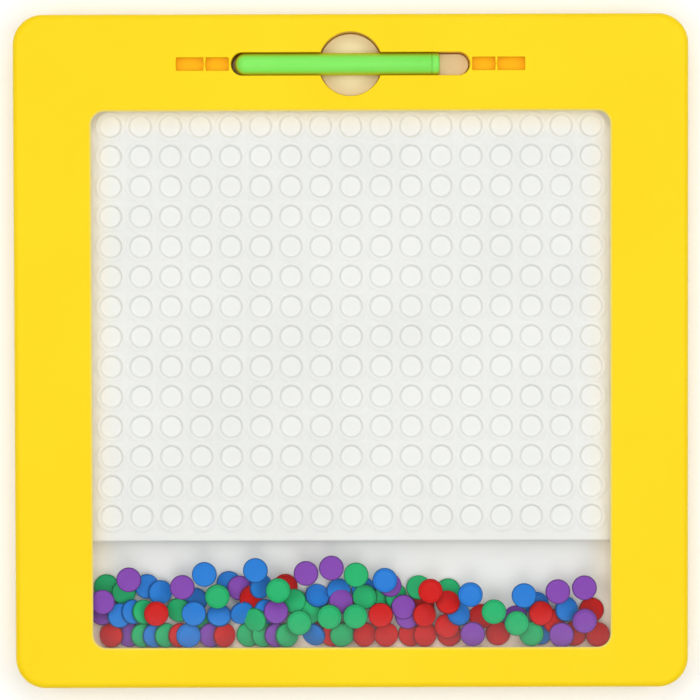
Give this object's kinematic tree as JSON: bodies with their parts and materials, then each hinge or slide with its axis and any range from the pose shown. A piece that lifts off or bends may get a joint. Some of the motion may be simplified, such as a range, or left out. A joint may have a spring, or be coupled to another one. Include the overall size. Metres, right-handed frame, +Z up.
{
  "type": "magnetic disc drawing board",
  "caption": "Square drawing board: yellow frame, clear window over a white board of round cells, a trough of loose coloured discs and a magnetic pen in a slot.",
  "frame": {"origin": "middle of the square footprint, on the surface that the rubber feet stand on", "axes": "+Z up out of the face of the board lying flat, +Y towards the pen slot, +X to the right when the board is read with the pen slot at the top"},
  "size_m": [0.28, 0.28, 0.02],
  "materials": {
    "yellow_shell": "glossy injection-moulded ABS, bright yellow",
    "clear_window": "clear polystyrene sheet",
    "white_board": "satin white moulding",
    "pen_green": "translucent bright green",
    "magnet_steel": "nickel-plated magnet",
    "screw_steel": "zinc-plated self-tapping screw",
    "foot_rubber": "soft rubber",
    "disc_red": "glossy red disc",
    "disc_green": "glossy green disc",
    "disc_blue": "glossy blue disc",
    "disc_purple": "glossy purple disc"
  },
  "bodies": {
    "housing": {"front_frame": "yellow_shell", "front_window": "clear_window", "cell_board": "white_board", "rear_cover": "white_board", "cover_screw_01": "screw_steel", "cover_screw_02": "screw_steel", "cover_screw_03": "screw_steel", "cover_screw_04": "screw_steel", "cover_screw_05": "screw_steel", "cover_screw_06": "screw_steel", "cover_screw_07": "screw_steel", "cover_screw_08": "screw_steel", "cover_screw_09": "screw_steel", "cover_screw_10": "screw_steel", "rubber_foot_near_left": "foot_rubber", "rubber_foot_near_right": "foot_rubber", "rubber_foot_far_right": "foot_rubber", "rubber_foot_far_left": "foot_rubber"},
    "pen": {"pen_barrel": "pen_green", "pen_magnet": "magnet_steel", "pen_end_cap": "pen_green"},
    "disc_01": {"disc_01_purple": "disc_purple"},
    "disc_02": {"disc_02_purple": "disc_purple"},
    "disc_03": {"disc_03_purple": "disc_purple"},
    "disc_04": {"disc_04_blue": "disc_blue"},
    "disc_05": {"disc_05_blue": "disc_blue"},
    "disc_06": {"disc_06_green": "disc_green"},
    "disc_07": {"disc_07_purple": "disc_purple"},
    "disc_08": {"disc_08_purple": "disc_purple"},
    "disc_09": {"disc_09_green": "disc_green"},
    "disc_10": {"disc_10_blue": "disc_blue"},
    "disc_11": {"disc_11_red": "disc_red"},
    "disc_12": {"disc_12_blue": "disc_blue"},
    "disc_13": {"disc_13_green": "disc_green"},
    "disc_14": {"disc_14_blue": "disc_blue"},
    "disc_15": {"disc_15_purple": "disc_purple"},
    "disc_16": {"disc_16_purple": "disc_purple"},
    "disc_17": {"disc_17_red": "disc_red"},
    "disc_18": {"disc_18_blue": "disc_blue"},
    "disc_19": {"disc_19_green": "disc_green"},
    "disc_20": {"disc_20_green": "disc_green"},
    "disc_21": {"disc_21_green": "disc_green"},
    "disc_22": {"disc_22_green": "disc_green"},
    "disc_23": {"disc_23_red": "disc_red"},
    "disc_24": {"disc_24_purple": "disc_purple"},
    "disc_25": {"disc_25_green": "disc_green"},
    "disc_26": {"disc_26_purple": "disc_purple"},
    "disc_27": {"disc_27_purple": "disc_purple"}
  },
  "joints": [
    {"name": "pen_lift", "type": "slide", "parent": "housing", "child": "pen", "axis": [0, 0, 1], "range_m": [0, 0.04]},
    {"name": "disc_01_slide", "type": "slide", "parent": "housing", "child": "disc_01", "axis": [0.0202, 0.9998, 0], "range_m": [0, 0.19809]},
    {"name": "disc_02_slide", "type": "slide", "parent": "housing", "child": "disc_02", "axis": [0.0291, 0.9996, 0], "range_m": [0, 0.18883]},
    {"name": "disc_03_slide", "type": "slide", "parent": "housing", "child": "disc_03", "axis": [-0.0224, 0.9997, 0], "range_m": [0, 0.192]},
    {"name": "disc_04_slide", "type": "slide", "parent": "housing", "child": "disc_04", "axis": [-0.0054, 1, 0], "range_m": [0, 0.18655]},
    {"name": "disc_05_slide", "type": "slide", "parent": "housing", "child": "disc_05", "axis": [0.0146, 0.9999, 0], "range_m": [0, 0.18497]},
    {"name": "disc_06_slide", "type": "slide", "parent": "housing", "child": "disc_06", "axis": [0.0295, 0.9996, 0], "range_m": [0, 0.19343]},
    {"name": "disc_07_slide", "type": "slide", "parent": "housing", "child": "disc_07", "axis": [0.0354, 0.9994, 0], "range_m": [0, 0.18637]},
    {"name": "disc_08_slide", "type": "slide", "parent": "housing", "child": "disc_08", "axis": [0.0461, 0.9989, 0], "range_m": [0, 0.18425]},
    {"name": "disc_09_slide", "type": "slide", "parent": "housing", "child": "disc_09", "axis": [0.0571, 0.9984, 0], "range_m": [0, 0.18726]},
    {"name": "disc_10_slide", "type": "slide", "parent": "housing", "child": "disc_10", "axis": [0.0591, 0.9983, 0], "range_m": [0, 0.18948]},
    {"name": "disc_11_slide", "type": "slide", "parent": "housing", "child": "disc_11", "axis": [0.0243, 0.9997, 0], "range_m": [0, 0.19381]},
    {"name": "disc_12_slide", "type": "slide", "parent": "housing", "child": "disc_12", "axis": [0.0031, 1, 0], "range_m": [0, 0.19525]},
    {"name": "disc_13_slide", "type": "slide", "parent": "housing", "child": "disc_13", "axis": [0.0163, 0.9999, 0], "range_m": [0, 0.20248]},
    {"name": "disc_14_slide", "type": "slide", "parent": "housing", "child": "disc_14", "axis": [0.0163, 0.9999, 0], "range_m": [0, 0.19578]},
    {"name": "disc_15_slide", "type": "slide", "parent": "housing", "child": "disc_15", "axis": [0.0082, 1, 0], "range_m": [0, 0.19416]},
    {"name": "disc_16_slide", "type": "slide", "parent": "housing", "child": "disc_16", "axis": [0.0156, 0.9999, 0], "range_m": [0, 0.19257]},
    {"name": "disc_17_lift", "type": "slide", "parent": "housing", "child": "disc_17", "axis": [0, 0, 1], "range_m": [0, 0.0026]},
    {"name": "disc_18_lift", "type": "slide", "parent": "housing", "child": "disc_18", "axis": [0, 0, 1], "range_m": [0, 0.0026]},
    {"name": "disc_19_lift", "type": "slide", "parent": "housing", "child": "disc_19", "axis": [0, 0, 1], "range_m": [0, 0.0026]},
    {"name": "disc_20_lift", "type": "slide", "parent": "housing", "child": "disc_20", "axis": [0, 0, 1], "range_m": [0, 0.0026]},
    {"name": "disc_21_lift", "type": "slide", "parent": "housing", "child": "disc_21", "axis": [0, 0, 1], "range_m": [0, 0.0026]},
    {"name": "disc_22_lift", "type": "slide", "parent": "housing", "child": "disc_22", "axis": [0, 0, 1], "range_m": [0, 0.0026]},
    {"name": "disc_23_lift", "type": "slide", "parent": "housing", "child": "disc_23", "axis": [0, 0, 1], "range_m": [0, 0.0026]},
    {"name": "disc_24_lift", "type": "slide", "parent": "housing", "child": "disc_24", "axis": [0, 0, 1], "range_m": [0, 0.0026]},
    {"name": "disc_25_lift", "type": "slide", "parent": "housing", "child": "disc_25", "axis": [0, 0, 1], "range_m": [0, 0.0026]},
    {"name": "disc_26_lift", "type": "slide", "parent": "housing", "child": "disc_26", "axis": [0, 0, 1], "range_m": [0, 0.0026]},
    {"name": "disc_27_lift", "type": "slide", "parent": "housing", "child": "disc_27", "axis": [0, 0, 1], "range_m": [0, 0.0026]}
  ]
}
